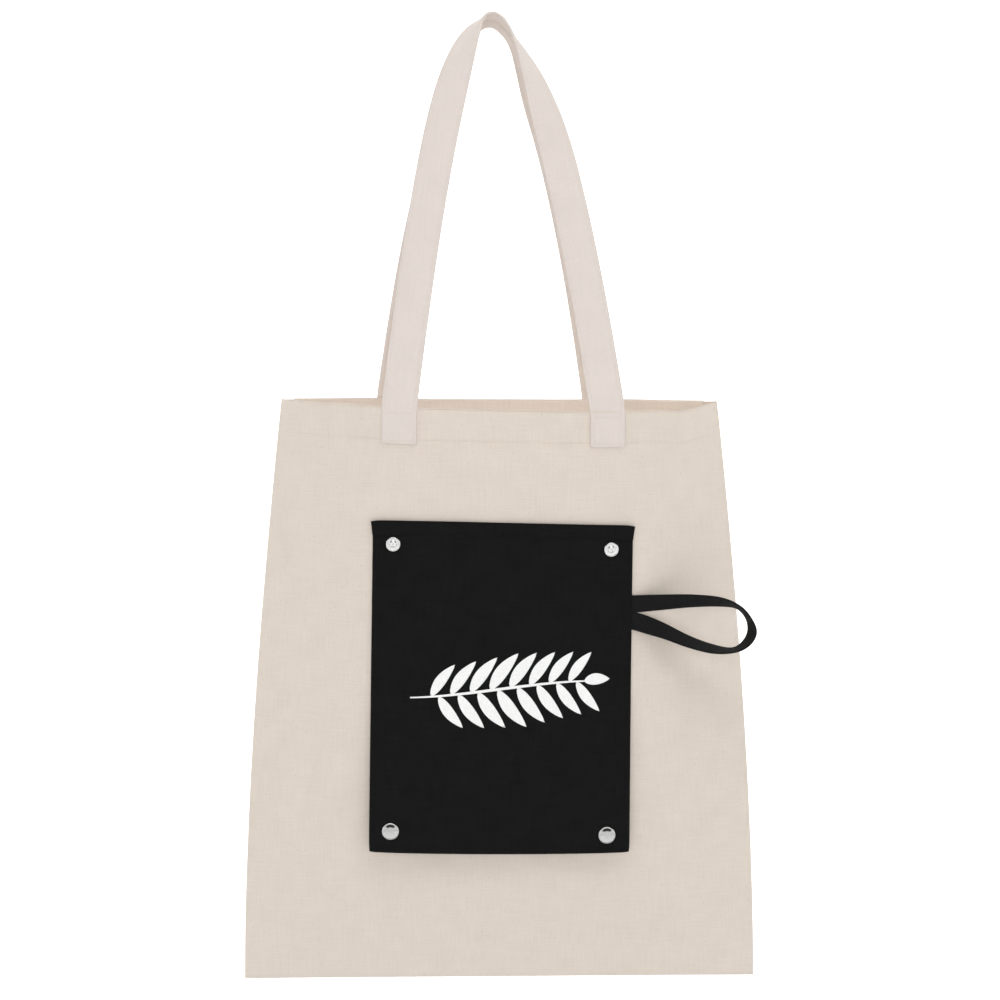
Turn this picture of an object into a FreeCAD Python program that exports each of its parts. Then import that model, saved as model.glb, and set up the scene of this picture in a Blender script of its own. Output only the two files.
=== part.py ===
"""Foldable tote bag: a cotton bag with two long handles, a snap-closed pouch and a wrist loop.

The origin is the point the bag hangs from, under the crown of the two handles. +X is to the
right of somebody looking at the pouch, +Y points through the bag to its back and +Z is up.
Lengths are in millimetres.
"""
import FreeCAD, Part
import math
import os

import Sketcher

# name, millimetres or degrees, what it is
DIMENSIONS = [
    ("handle_rise", 279.0, "hang point above the rim"),
    ("bag_height", 428.0, "rim to bottom seam"),
    ("rim_half_width", 160.5, "centre to side seam at the open rim"),
    ("base_half_width", 190.5, "centre to side seam at the bottom"),
    ("side_curve", 1.65, "power of the side seams' curve"),
    ("rim_half_depth", 62.0, "centre to front or back panel at the rim"),
    ("panel_lean", 6.1, "degrees each panel leans in, going down"),
    ("facet_half_width", 95.0, "half the flat middle of each panel"),
    ("cloth", 0.8, "thickness of the bag's cotton"),
    ("hem_depth", 25.0, "turned hem at the rim"),
    ("fold_drop", 345.0, "rim to the line that the bottom folds on"),
    ("fold_gap", 1.0, "clearance between the cloth above and below that line"),
    ("seam_width", 8.0, "side and bottom seam allowance"),
    ("seam_grip", 2.0, "how much of a panel's edge lies on the seam allowance"),
    ("strap_width", 25.4, "handle strap"),
    ("strap_thick", 1.6, "handle strap, folded and stitched"),
    ("foot_offset", 74.3, "centre to the middle of a handle's foot"),
    ("crown_half_depth", 14.0, "centre to the middle of a strap at its crown"),
    ("crown_slope", 12.0, "degrees the crown falls towards the back"),
    ("pouch_half_width", 95.25, "centre to side of the pouch"),
    ("pouch_half_height", 122.8, "crease to the pouch's top or bottom"),
    ("pouch_drop", 203.7, "rim to the pouch's crease"),
    ("pouch_shift", -1.0, "pouch's crease off the bag's centre"),
    ("pouch_tilt", 1.0, "degrees the pouch is sewn off square"),
    ("pouch_cloth", 0.6, "thickness of the pouch's two layers"),
    ("pouch_gap", 1.0, "seam allowance between the layers"),
    ("pouch_seam", 5.0, "width of the pouch's seam allowance"),
    ("pouch_hem", 11.0, "band along the pouch's mouth"),
    ("pouch_flare", 1.5, "how far that band stands out at each side"),
    ("crease_gap", 0.5, "clearance above and below the crease's axis"),
    ("crease_out", 0.8, "crease axis in front of the pouch's outer face"),
    ("flap_clearance", 0.5, "the lower half's back off the front panel, at the crease"),
    ("snap_offset", 79.2, "centre of the pouch to a snap"),
    ("stud_rise", 105.0, "crease to the studs"),
    ("cap_drop", 108.0, "crease to the caps"),
    ("post_radius", 1.6, "snap post through the cloth"),
    ("post_play", 0.05, "clearance of a ring round its post"),
    ("stud_radius", 5.25, "snap stud"),
    ("stud_plate", 0.7, "thickness of a stud's ring"),
    ("stud_bead", 1.2, "height of the bead round that ring"),
    ("stud_bead_width", 2.0, "edge of a stud to the foot of its bead"),
    ("knob_neck", 2.1, "radius of a stud's knob at its neck"),
    ("knob_radius", 2.4, "radius of the knob's bulge"),
    ("knob_height", 2.7, "cloth to the top of the knob"),
    ("eyelet_radius", 5.0, "flange behind a stud"),
    ("eyelet_plate", 0.3, "thickness of that flange"),
    ("eyelet_bore", 0.8, "hole through its post"),
    ("cap_radius", 6.3, "snap cap"),
    ("cap_edge", 0.6, "straight edge of a cap"),
    ("cap_height", 1.9, "cloth to the top of a cap's dome"),
    ("cap_tail", 1.6, "post of a cap beyond the cloth"),
    ("socket_radius", 5.5, "snap socket"),
    ("socket_plate", 0.6, "thickness of a socket's base"),
    ("socket_height", 2.6, "cloth to the open end of a socket"),
    ("socket_bore", 2.9, "radius of a socket's inside"),
    ("socket_lip", 2.5, "radius at the lip that grips the knob"),
    ("socket_edge", 0.8, "bevel round a socket's open end"),
    ("tape_width", 12.1, "wrist loop tape"),
    ("tape_thick", 0.96, "wrist loop tape"),
    ("loop_rise", 56.2, "crease to the middle of the wrist loop's anchor"),
    ("anchor_length", 9.0, "wrist loop tape caught in the pouch's seam"),
    ("anchor_play", 0.3, "clearance of the tape in the seam allowance"),
    ("anchor_rib", 2.0, "width of the seam allowance round the tape"),
    ("loop_gap", 1.2, "clearance between the anchor and the free loop"),
]

doc = FreeCAD.newDocument("foldable_tote")
sheet = doc.addObject("Spreadsheet::Sheet", "Dims")
for row, (alias, number, meaning) in enumerate(DIMENSIONS, start=1):
    sheet.set(f"A{row}", meaning)
    sheet.set(f"B{row}", str(number))
    sheet.setAlias(f"B{row}", alias)
doc.recompute()


class Size:
    """A number together with the spreadsheet formula that it comes from."""

    def __init__(self, number, formula):
        self.number = number
        self.formula = formula

    def join(self, other, sign, number):
        formula = other.formula if isinstance(other, Size) else str(other)
        return Size(number, f"({self.formula} {sign} {formula})")

    def __add__(self, other):
        return self.join(other, "+", self.number + plain(other))

    def __sub__(self, other):
        return self.join(other, "-", self.number - plain(other))

    def __mul__(self, other):
        return self.join(other, "*", self.number * plain(other))

    def __truediv__(self, other):
        return self.join(other, "/", self.number / plain(other))

    def __pow__(self, other):
        return self.join(other, "^", self.number ** plain(other))

    def __neg__(self):
        return Size(-self.number, f"(-1 * {self.formula})")


def plain(size):
    return size.number if isinstance(size, Size) else size


def fixed(number):
    return Size(number, str(number))


D = {alias: Size(number, f"Dims.{alias}") for alias, number, _ in DIMENSIONS}
ZERO = fixed(0.0)
ONE = fixed(1.0)
lean_slope = Size(math.tan(math.radians(D["panel_lean"].number)), "tan(Dims.panel_lean * 1deg)")


# ---------------------------------------------------------------- sketches and features

def new_body(label):
    body = doc.addObject("PartDesign::Body", label)
    body.Label = label
    return body


def plane_of(body, role):
    return next(part for part in body.Origin.OriginFeatures if part.Role == role)


def new_sketch(body, role, offset=None):
    sketch = body.newObject("Sketcher::SketchObject", f"{body.Label}_sketch")
    sketch.AttachmentSupport = (plane_of(body, role), [""])
    sketch.MapMode = "FlatFace"
    if isinstance(offset, Size):
        sketch.AttachmentOffset = FreeCAD.Placement(
            FreeCAD.Vector(0, 0, offset.number), FreeCAD.Rotation())
        sketch.setExpression("AttachmentOffset.Base.z", offset.formula)
    elif offset is not None:
        sketch.AttachmentOffset = offset
    return sketch


def bind(sketch, constraint, size):
    """Add a constraint whose value follows the spreadsheet."""
    index = sketch.addConstraint(constraint)
    if size.formula != str(size.number):
        sketch.setExpression(f"Constraints[{index}]", size.formula)


def dome_arc(edge, top):
    """The arc up from an edge point to a top point on the Y axis, where it lies level."""
    sag = top.y - edge.y
    radius = (edge.x ** 2 + sag ** 2) / (2 * sag)
    centre = FreeCAD.Vector(0, top.y - radius, 0)
    start = math.atan2(edge.y - centre.y, edge.x)
    circle = Part.Circle(centre, FreeCAD.Vector(0, 0, 1), radius)
    return Part.ArcOfCircle(circle, start, math.pi / 2)


def add_polygon(sketch, points, dome=None):
    """Draw a closed outline whose corners are pinned to their own formulas.

    Its edges are straight, except that the one from corner number dome is a dome's arc.
    """
    first = sketch.GeometryCount
    count = len(points)
    corners = [FreeCAD.Vector(x.number, y.number, 0) for x, y in points]
    for i, start in enumerate(corners):
        end = corners[(i + 1) % count]
        edge = dome_arc(start, end) if i == dome else Part.LineSegment(start, end)
        sketch.addGeometry(edge, False)
    if dome is not None:
        sketch.addConstraint(Sketcher.Constraint("PointOnObject", first + dome, 3, -2))
    for i, (x, y) in enumerate(points):
        edge = first + i
        before = first + (i - 1) % count
        sketch.addConstraint(Sketcher.Constraint("Coincident", before, 2, edge, 1))
        bind(sketch, Sketcher.Constraint("DistanceX", -1, 1, edge, 1, x.number), x)
        bind(sketch, Sketcher.Constraint("DistanceY", -1, 1, edge, 1, y.number), y)


def add_circle(sketch, x, y, radius):
    centre = FreeCAD.Vector(x.number, y.number, 0)
    edge = sketch.addGeometry(
        Part.Circle(centre, FreeCAD.Vector(0, 0, 1), radius.number), False)
    bind(sketch, Sketcher.Constraint("Radius", edge, radius.number), radius)
    bind(sketch, Sketcher.Constraint("DistanceX", -1, 1, edge, 3, x.number), x)
    bind(sketch, Sketcher.Constraint("DistanceY", -1, 1, edge, 3, y.number), y)


def rectangle(x_low, x_high, y_low, y_high):
    return [(x_low, y_low), (x_high, y_low), (x_high, y_high), (x_low, y_high)]


def pad(body, sketch, length, midplane=False):
    feature = body.newObject("PartDesign::Pad", f"{body.Label}_pad")
    feature.Profile = sketch
    feature.setExpression("Length", length.formula)
    feature.Midplane = midplane
    body.Tip = feature
    return feature


def loft(body, sketches, ruled):
    feature = body.newObject("PartDesign::AdditiveLoft", f"{body.Label}_loft")
    feature.Profile = sketches[0]
    feature.Sections = sketches[1:]
    feature.Ruled = ruled
    body.Tip = feature
    return feature


def revolve(label, outline, placement, dome=None):
    """Spin an outline of (radius, height) corners about the piece's own Z axis."""
    body = new_body(label)
    sketch = new_sketch(body, "XZ_Plane")
    add_polygon(sketch, outline, dome)
    feature = body.newObject("PartDesign::Revolution", f"{label}_turn")
    feature.Profile = sketch
    feature.ReferenceAxis = (sketch, ["V_Axis"])
    feature.Angle = 360
    body.Tip = feature
    body.Placement = placement
    return body


def plate(label, corners, out, thickness, placement, holes=()):
    """A flat layer in a local frame: corners in its X-Z plane, out measured towards -Y."""
    body = new_body(label)
    sketch = new_sketch(body, "XZ_Plane", out)
    add_polygon(sketch, corners)
    for x, z, radius in holes:
        add_circle(sketch, x, z, radius)
    pad(body, sketch, thickness)
    body.Placement = placement
    return body


# ---------------------------------------------------------------- bag

MITRE = 0.4              # an inside corner's offset along the wall, in cloth thicknesses
LAYER_CLEARANCE = 0.1    # between cloth that lies on cloth
LOWER_MIDDLE_DEPTH = 0.6 # of the depth at the fold, half way down from it to the bottom seam


def half_width(drop):
    """Centre to side seam, at a drop below the rim."""
    left_over = ONE - drop / D["bag_height"]
    spread = D["base_half_width"] - D["rim_half_width"]
    return D["base_half_width"] - spread * left_over ** D["side_curve"]


def half_depth(drop):
    """Centre to the outer face of a panel's flat middle, down to the bottom fold."""
    return D["rim_half_depth"] - lean_slope * drop


def panel_outline(width, depth, face):
    """Half of the bag's six-sided section: face is -1 for the front and 1 for the back."""
    edge = D["cloth"] * face
    outer = depth * face
    inner = (depth - D["cloth"]) * face
    flat = D["facet_half_width"]
    inner_flat = flat - D["cloth"] * MITRE
    inner_width = width - D["seam_grip"]
    return [
        (-width, edge), (-flat, outer), (flat, outer), (width, edge),
        (inner_width, edge), (inner_flat, inner), (-inner_flat, inner), (-inner_width, edge),
    ]


def panel(label, stations, face):
    """A cloth panel through (drop, half depth) stations."""
    body = new_body(label)
    sketches = []
    for drop, depth in stations:
        sketch = new_sketch(body, "XY_Plane", -(D["handle_rise"] + drop))
        add_polygon(sketch, panel_outline(half_width(drop), depth, face))
        sketches.append(sketch)
    loft(body, sketches, ruled=True)
    return body


def hem(label, face):
    """The turned-in band inside a panel's rim, which stops short of the side seams."""
    body = new_body(label)
    sketches = []
    for drop in (ZERO, D["hem_depth"]):
        sketch = new_sketch(body, "XY_Plane", -(D["handle_rise"] + drop))
        width = half_width(drop)
        depth = half_depth(drop) - D["cloth"] - LAYER_CLEARANCE
        flat = D["facet_half_width"] - D["cloth"] * MITRE
        climb = (depth - D["cloth"]) / (width - D["seam_grip"] - flat)
        end = width - D["seam_width"] - D["cloth"]
        end_depth = D["cloth"] + climb * (width - D["seam_grip"] - end) - LAYER_CLEARANCE
        outer = [(-end, end_depth), (-flat, depth), (flat, depth), (end, end_depth)]
        inner = [(x, y - D["cloth"]) for x, y in reversed(outer)]
        add_polygon(sketch, [(x, y * face) for x, y in outer + inner])
        sketches.append(sketch)
    loft(body, sketches, ruled=True)
    return body


fold_top = D["fold_drop"] - D["fold_gap"] / 2
fold_base = D["fold_drop"] + D["fold_gap"] / 2
flat_base = D["cloth"] * 2
upper_drops = [ZERO, D["hem_depth"], D["pouch_drop"] / 2, D["pouch_drop"], fold_top]
lower_middle = (D["fold_drop"] + D["bag_height"]) / 2

for side, face in (("front", -ONE), ("back", ONE)):
    panel(f"{side}_panel", [(drop, half_depth(drop)) for drop in upper_drops], face)
    panel(
        f"{side}_panel_bottom",
        [
            (fold_base, half_depth(fold_base)),
            (lower_middle, half_depth(fold_base) * LOWER_MIDDLE_DEPTH),
            (D["bag_height"], flat_base),
        ],
        face,
    )
    hem(f"{side}_hem", face)


def side_seam(label, drops, hand):
    """Seam allowance between the panels, along one side."""
    body = new_body(label)
    sketch = new_sketch(body, "XZ_Plane")
    outside = [(half_width(drop) * hand, -(D["handle_rise"] + drop)) for drop in drops]
    inside = [(x - D["seam_width"] * hand, z) for x, z in reversed(outside)]
    add_polygon(sketch, outside + inside)
    pad(body, sketch, D["cloth"] * 2, midplane=True)
    return body


for side, hand in (("left", -ONE), ("right", ONE)):
    side_seam(f"{side}_seam", upper_drops, hand)
    side_seam(f"{side}_seam_bottom", [fold_base, lower_middle, D["bag_height"]], hand)

bottom_seam = new_body("bottom_seam")
bottom_sketch = new_sketch(bottom_seam, "XZ_Plane")
bottom_reach = half_width(D["bag_height"]) - D["seam_width"] - D["cloth"]
bottom_z = -(D["handle_rise"] + D["bag_height"])
add_polygon(
    bottom_sketch,
    rectangle(-bottom_reach, bottom_reach, bottom_z, bottom_z + D["seam_width"]),
)
pad(bottom_seam, bottom_sketch, D["cloth"] * 2, midplane=True)


# ---------------------------------------------------------------- handles

def handle_foot(label, hand, face):
    """The end of a handle strap, sewn flat on a panel over its hem."""
    body = new_body(label)
    sketch = new_sketch(body, "YZ_Plane", D["foot_offset"] * hand)
    rim = -D["handle_rise"]
    top = half_depth(ZERO)
    base = half_depth(D["hem_depth"])
    add_polygon(
        sketch,
        [
            (top * face, rim),
            ((top + D["strap_thick"]) * face, rim),
            ((base + D["strap_thick"]) * face, rim - D["hem_depth"]),
            (base * face, rim - D["hem_depth"]),
        ],
    )
    pad(body, sketch, D["strap_width"], midplane=True)
    return body


for side, face in (("front", -ONE), ("back", ONE)):
    handle_foot(f"{side}_handle_foot_left", -ONE, face)
    handle_foot(f"{side}_handle_foot_right", ONE, face)

HANDLE_CLEARANCE = 0.5   # strap's lower ends above the rim, where it is free to swing
ARCH_POWER = 1.85        # 2 is a parabola
TWIST_POWER = 1.3        # the slow half of the quarter turn, all along a leg
CROWN_SHARE = 0.38       # the quick half is in this share of a leg, next to the crown
STRAP_STATIONS = 12      # sections from the crown to each foot, closer near the crown
STATION_POWER = 1.5
TANGENT_STEP = 0.004     # of t, each side of a section, for the strap's direction


def strap_middle(t, face):
    """Middle of a strap's section: t runs from -1 at the left foot to 1 at the right one."""
    half_thick = plain(D["strap_thick"]) / 2
    slope = math.tan(math.radians(plain(D["crown_slope"])))
    crown_y = plain(D["crown_half_depth"]) * face
    crown_z = half_thick - crown_y * slope
    foot_y = (plain(D["rim_half_depth"]) + half_thick) * face
    foot_z = HANDLE_CLEARANCE - plain(D["handle_rise"])
    fall = abs(t) ** ARCH_POWER
    return FreeCAD.Vector(
        plain(D["foot_offset"]) * t,
        crown_y + (foot_y - crown_y) * fall,
        crown_z + (foot_z - crown_z) * fall,
    )


def strap_twist(t):
    """Degrees that a strap has turned from lying flat at its foot."""
    near = min(1.0, abs(t) / CROWN_SHARE)
    quick = near * near * (3.0 - 2.0 * near)
    return 90.0 * (1.0 - (quick + abs(t) ** TWIST_POWER) / 2.0)


def strap_frame(t, face):
    """The plane of a strap's section, square to the strap but level at its feet."""
    ahead = strap_middle(min(1.0, t + TANGENT_STEP), face)
    behind = strap_middle(max(-1.0, t - TANGENT_STEP), face)
    along = ahead - behind
    if abs(t) == 1.0:
        along.x = 0.0
    along.normalize()
    slope = math.radians(plain(D["crown_slope"]))
    backward = FreeCAD.Vector(0, math.cos(slope), -math.sin(slope))
    backward = (backward - along * backward.dot(along)).normalize()
    sideways = along.cross(backward) * -face
    twist = math.radians(strap_twist(t))
    across = backward * math.sin(twist) + sideways * math.cos(twist)
    through = along.cross(across)
    return FreeCAD.Placement(
        strap_middle(t, face), FreeCAD.Rotation(across, through, along, "ZXY"))


def handle(label, face):
    body = new_body(label)
    reach = D["strap_width"] / 2
    depth = D["strap_thick"] / 2
    sketches = []
    for i in range(-STRAP_STATIONS, STRAP_STATIONS + 1):
        t = math.copysign(abs(i / STRAP_STATIONS) ** STATION_POWER, i)
        sketch = new_sketch(body, "XY_Plane", strap_frame(t, face))
        add_polygon(sketch, rectangle(-reach, reach, -depth, depth))
        sketches.append(sketch)
    loft(body, sketches, ruled=True)
    return body


handle("front_handle", -1.0)
handle("back_handle", 1.0)


# ---------------------------------------------------------------- pouch

def turn(axis, degrees):
    return FreeCAD.Placement(FreeCAD.Vector(), FreeCAD.Rotation(axis, degrees))


def shift(x, y, z):
    return FreeCAD.Placement(FreeCAD.Vector(x, y, z), FreeCAD.Rotation())


X_AXIS = FreeCAD.Vector(1, 0, 0)
Y_AXIS = FreeCAD.Vector(0, 1, 0)

# The pouch's own frames have their origin at the middle of the crease, on the front panel.
crease = shift(
    plain(D["pouch_shift"]),
    -plain(half_depth(D["pouch_drop"])),
    -plain(D["handle_rise"] + D["pouch_drop"]),
)
tilt = turn(Y_AXIS, plain(D["pouch_tilt"]))
sewn_half = crease * turn(X_AXIS, plain(D["panel_lean"])) * tilt

layer = D["pouch_cloth"]
front_layer = layer + D["pouch_gap"]
pouch_face = front_layer + layer
crease_axis_out = pouch_face + D["crease_out"]
crease_axis = sewn_half.multVec(FreeCAD.Vector(0, -crease_axis_out.number, 0))
free_back = crease_axis_out - D["flap_clearance"]
free_half = shift(*crease_axis) * tilt * shift(0, free_back.number, 0)

side_x = D["pouch_half_width"]
mouth_z = D["pouch_half_height"]
crease_top = D["crease_gap"]
hole = D["post_radius"] + D["post_play"] * 2
stud_holes = [(D["snap_offset"] * hand, D["stud_rise"], hole) for hand in (-1.0, 1.0)]
cap_holes = [(D["snap_offset"] * hand, -D["cap_drop"], hole) for hand in (-1.0, 1.0)]

sewn_outline = rectangle(-side_x, side_x, crease_top, mouth_z)
free_outline = rectangle(-side_x, side_x, -mouth_z, -crease_top)
plate("pouch_back", sewn_outline, ZERO, layer, sewn_half)
plate("pouch_front", sewn_outline, front_layer, layer, sewn_half, stud_holes)
plate("flap_back", free_outline, ZERO, layer, free_half, cap_holes)
plate("flap_front", free_outline, front_layer, layer, free_half, cap_holes)

band_x = side_x + D["pouch_flare"]
band_low = mouth_z - D["pouch_hem"]
plate("pouch_hem", rectangle(-band_x, band_x, band_low, mouth_z), pouch_face, layer, sewn_half)

seam_x = side_x - D["pouch_seam"]
plate(
    "pouch_left_seam",
    rectangle(-side_x, -seam_x, crease_top, mouth_z),
    layer, D["pouch_gap"], sewn_half,
)
anchor_low = D["loop_rise"] - D["tape_width"]
anchor_high = D["loop_rise"] + D["tape_width"]
anchor_x = side_x - D["anchor_length"]
slot_x = anchor_x - D["anchor_play"]
slot_low = anchor_low - D["anchor_play"]
slot_high = anchor_high + D["anchor_play"]
rib_x = slot_x - D["anchor_rib"]
rib_low = slot_low - D["anchor_rib"]
rib_high = slot_high + D["anchor_rib"]
plate(
    "pouch_right_seam",
    [
        (seam_x, crease_top), (side_x, crease_top), (side_x, slot_low), (slot_x, slot_low),
        (slot_x, slot_high), (side_x, slot_high), (side_x, mouth_z), (seam_x, mouth_z),
        (seam_x, rib_high), (rib_x, rib_high), (rib_x, rib_low), (seam_x, rib_low),
    ],
    layer, D["pouch_gap"], sewn_half,
)
plate(
    "flap_seam",
    [
        (-side_x, -crease_top), (-side_x, -mouth_z), (side_x, -mouth_z), (side_x, -crease_top),
        (seam_x, -crease_top), (seam_x, -mouth_z + D["pouch_seam"]),
        (-seam_x, -mouth_z + D["pouch_seam"]), (-seam_x, -crease_top),
    ],
    layer, D["pouch_gap"], free_half,
)
tape_out = layer + (D["pouch_gap"] - D["tape_thick"]) / 2
plate(
    "wrist_loop_anchor",
    rectangle(anchor_x, side_x, anchor_low, anchor_high),
    tape_out, D["tape_thick"], sewn_half,
)


# ---------------------------------------------------------------- snaps

OUTWARD = turn(X_AXIS, 90.0)    # a turned piece's Z axis points out of the cloth


def snap_place(half, hand, z, out):
    return half * shift(plain(D["snap_offset"]) * hand, -plain(out), plain(z)) * OUTWARD


def stud(label, placement):
    """Ring with a hollow knob, riveted on the pouch's front layer; z = 0 is the cloth."""
    rim = D["stud_radius"]
    plate_top = D["stud_plate"]
    bore = D["post_radius"] + D["post_play"]
    neck = D["knob_neck"]
    top = D["knob_height"]
    return revolve(label, [
        (bore, ZERO), (rim, ZERO), (rim, plate_top),
        (rim - D["stud_bead_width"] / 2, D["stud_bead"]), (rim - D["stud_bead_width"], plate_top),
        (neck, plate_top), (neck, top / 2), (D["knob_radius"], top * 0.8), (neck, top),
        (bore, top),
    ], placement)


def eyelet(label, placement):
    """Flange behind the layer, with the post that the stud is riveted on."""
    post = D["post_radius"]
    bore = D["eyelet_bore"]
    flange = D["eyelet_radius"]
    cloth_back = -layer
    flange_back = cloth_back - D["eyelet_plate"]
    top = D["knob_height"]
    return revolve(label, [
        (bore, flange_back), (flange, flange_back), (flange, cloth_back), (post, cloth_back),
        (post, top), (bore, top),
    ], placement)


def cap(label, placement, cloth_depth):
    """Domed cap on the flap's face, with its post through both layers."""
    rim = D["cap_radius"]
    post = D["post_radius"]
    tail = -(cloth_depth + D["cap_tail"])
    return revolve(label, [
        (ZERO, tail), (post, tail), (post, ZERO), (rim, ZERO), (rim, D["cap_edge"]),
        (ZERO, D["cap_height"]),
    ], placement, dome=4)


def socket(label, placement, cloth_depth):
    """Spring socket on the flap's back, open away from the cloth."""
    rim = D["socket_radius"]
    bore = D["post_radius"] + D["post_play"]
    inside = D["socket_bore"]
    back = -cloth_depth
    floor = back - D["socket_plate"]
    lip = back - D["socket_height"]
    edge = D["socket_edge"]
    return revolve(label, [
        (bore, back), (rim, back), (rim, lip + edge / 2), (rim - edge, lip), (inside, lip),
        (D["socket_lip"], lip + edge / 2), (inside, floor - edge), (inside, floor), (bore, floor),
    ], placement)


for side, hand in (("left", -1.0), ("right", 1.0)):
    stud_place = snap_place(sewn_half, hand, D["stud_rise"], pouch_face)
    stud(f"{side}_stud", stud_place)
    eyelet(f"{side}_eyelet", stud_place)
    cap_place = snap_place(free_half, hand, -D["cap_drop"], pouch_face)
    cap(f"{side}_cap", cap_place, pouch_face)
    socket(f"{side}_socket", cap_place, pouch_face)


# ---------------------------------------------------------------- wrist loop

# (out from the pouch's side, above the anchor's middle, degrees the tape has turned edge-on)
LOOP_ROUTE = [
    (0, 6.1, 0), (22, 7.8, 12), (44, 9.2, 32), (64, 8.8, 50), (78, 5.4, 66), (86.3, -2.8, 74),
    (88.8, -13, 76), (85.2, -22, 73), (76, -27, 65), (60, -26.2, 50), (42, -20.6, 35),
    (22, -12.6, 16), (0, -6.1, 0),
]


def loop_frame(curve, parameter, degrees):
    """The plane of the tape's section at a point of the loop's middle line."""
    point = curve.value(parameter)
    along = FreeCAD.Vector(*curve.tangent(parameter)[0])
    flat = FreeCAD.Vector(0, 1, 0).cross(along)
    across = flat * math.cos(math.radians(degrees)) + Y_AXIS * math.sin(math.radians(degrees))
    through = along.cross(across)
    return FreeCAD.Placement(point, FreeCAD.Rotation(across, through, along, "ZXY"))


def wrist_loop(label):
    body = new_body(label)
    start = plain(side_x) + plain(D["loop_gap"])
    middle = plain(D["loop_rise"])
    out = -plain(tape_out + D["tape_thick"] / 2)
    points = [FreeCAD.Vector(start + x, out, middle + z) for x, z, _ in LOOP_ROUTE]
    curve = Part.BSplineCurve()
    curve.interpolate(points)
    reach = D["tape_width"] / 2
    depth = D["tape_thick"] / 2
    sketches = []
    for point, (_, _, degrees) in zip(points, LOOP_ROUTE):
        frame = loop_frame(curve, curve.parameter(point), degrees)
        sketch = new_sketch(body, "XY_Plane", frame)
        add_polygon(sketch, rectangle(-reach, reach, -depth, depth))
        sketches.append(sketch)
    loft(body, sketches, ruled=False)
    body.Placement = sewn_half
    return body


wrist_loop("wrist_loop")


# ---------------------------------------------------------------- check and write

doc.recompute()
for thing in doc.Objects:
    if "Invalid" in thing.State or "Error" in thing.State:
        raise RuntimeError(f"{thing.Label} failed: {thing.State}")

os.makedirs("parts", exist_ok=True)
for body in doc.findObjects("PartDesign::Body"):
    shape = body.Shape
    if shape.isNull() or not shape.isValid():
        raise RuntimeError(f"{body.Label} has no sound shape")
    shape.exportStep(f"parts/{body.Label}.step")
    box = shape.BoundBox
    print(
        f"{body.Label:26s} {shape.Volume:10.1f} mm3 solids {len(shape.Solids)}"
        f" x {box.XMin:8.1f} {box.XMax:8.1f} y {box.YMin:7.1f} {box.YMax:7.1f}"
        f" z {box.ZMin:8.1f} {box.ZMax:8.1f}"
    )
print("crease axis", [round(value, 3) for value in crease_axis])
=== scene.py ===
"""The foldable tote bag's looks: cloth, stitching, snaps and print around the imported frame.

The object's frame is the CAD's: the origin is the point that the bag hangs from, +X is to the
right of somebody looking at the pouch, +Y points to the back of the bag and +Z is up.
Everything is in metres.
"""
import math
from collections import namedtuple

import bmesh
import bpy
import numpy as np
from mathutils import Matrix, Vector


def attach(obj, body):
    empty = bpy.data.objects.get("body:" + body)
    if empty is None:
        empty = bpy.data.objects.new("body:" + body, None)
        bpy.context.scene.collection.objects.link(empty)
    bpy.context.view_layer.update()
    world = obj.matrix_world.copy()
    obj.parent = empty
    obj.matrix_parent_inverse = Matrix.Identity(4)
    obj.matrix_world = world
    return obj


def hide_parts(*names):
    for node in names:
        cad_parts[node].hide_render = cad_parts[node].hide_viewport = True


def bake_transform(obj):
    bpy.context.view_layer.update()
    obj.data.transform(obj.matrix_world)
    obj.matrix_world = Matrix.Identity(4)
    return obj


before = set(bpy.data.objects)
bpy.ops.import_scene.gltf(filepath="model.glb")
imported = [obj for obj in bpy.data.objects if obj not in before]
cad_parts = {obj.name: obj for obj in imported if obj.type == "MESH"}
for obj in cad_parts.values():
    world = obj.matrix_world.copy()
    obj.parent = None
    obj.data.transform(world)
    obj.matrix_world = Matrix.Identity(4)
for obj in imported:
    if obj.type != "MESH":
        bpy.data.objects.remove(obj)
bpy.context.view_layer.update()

MM = 0.001

# ---- sizes of the bag

RIM_Z = -279.0 * MM
BAG_HEIGHT = 428.0 * MM
RIM_HALF_WIDTH = 160.5 * MM
BASE_HALF_WIDTH = 190.5 * MM
SIDE_CURVE = 1.65            # power of the side seams' curve
RIM_HALF_DEPTH = 62.0 * MM
LEAN = math.radians(6.1)     # each panel leans in by this, going down
FACET = 102.0 * MM           # half the flat middle of a panel
FOLD_DROP = 345.0 * MM       # rim to the line that the bottom folds on
BASE_HALF_DEPTH = 0.9 * MM
BASE_SLOPE = -0.35           # of the panels, where they reach the bottom seam
CLOTH = 0.8 * MM
SEAM_HALF_DEPTH = 0.8 * MM   # outer face of a panel at the side seam
HEM = 25.0 * MM
HEM_ROLL = 0.9 * MM          # the turned edge's outer radius
STITCH_DROP = HEM - 2.5 * MM
FRONT, BACK = -1, 1          # which side of the bag, as the sign of y

STRAP_WIDTH = 25.4 * MM
STRAP_THICK = 1.6 * MM
FOOT_X = 74.3 * MM
CROWN_Y = 12.9 * MM
CROWN_SLOPE = math.radians(8.5)
CROWN_LIFT = 1.3 * MM

POUCH_X = -1.0 * MM
CREASE_Z = -482.7 * MM
POUCH_TILT = math.radians(1.0)
FLAP_LEAN = math.radians(2.5)     # the free half hangs between plumb and the panel behind it
POUCH_HALF_WIDTH = 95.25 * MM
POUCH_HALF_HEIGHT = 122.8 * MM
POUCH_CLOTH = 0.6 * MM
POUCH_FACE = 2.2 * MM        # outer face of the pouch's front layer, from the panel
# middles of the snaps, across and up from the middle of the pouch's crease
STUDS = {"left": (-80.3 * MM, 106.0 * MM), "right": (79.2 * MM, 105.2 * MM)}
CAPS = {"left": (-79.7 * MM, -106.7 * MM), "right": (78.4 * MM, -108.7 * MM)}


# ---- small helpers

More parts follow.
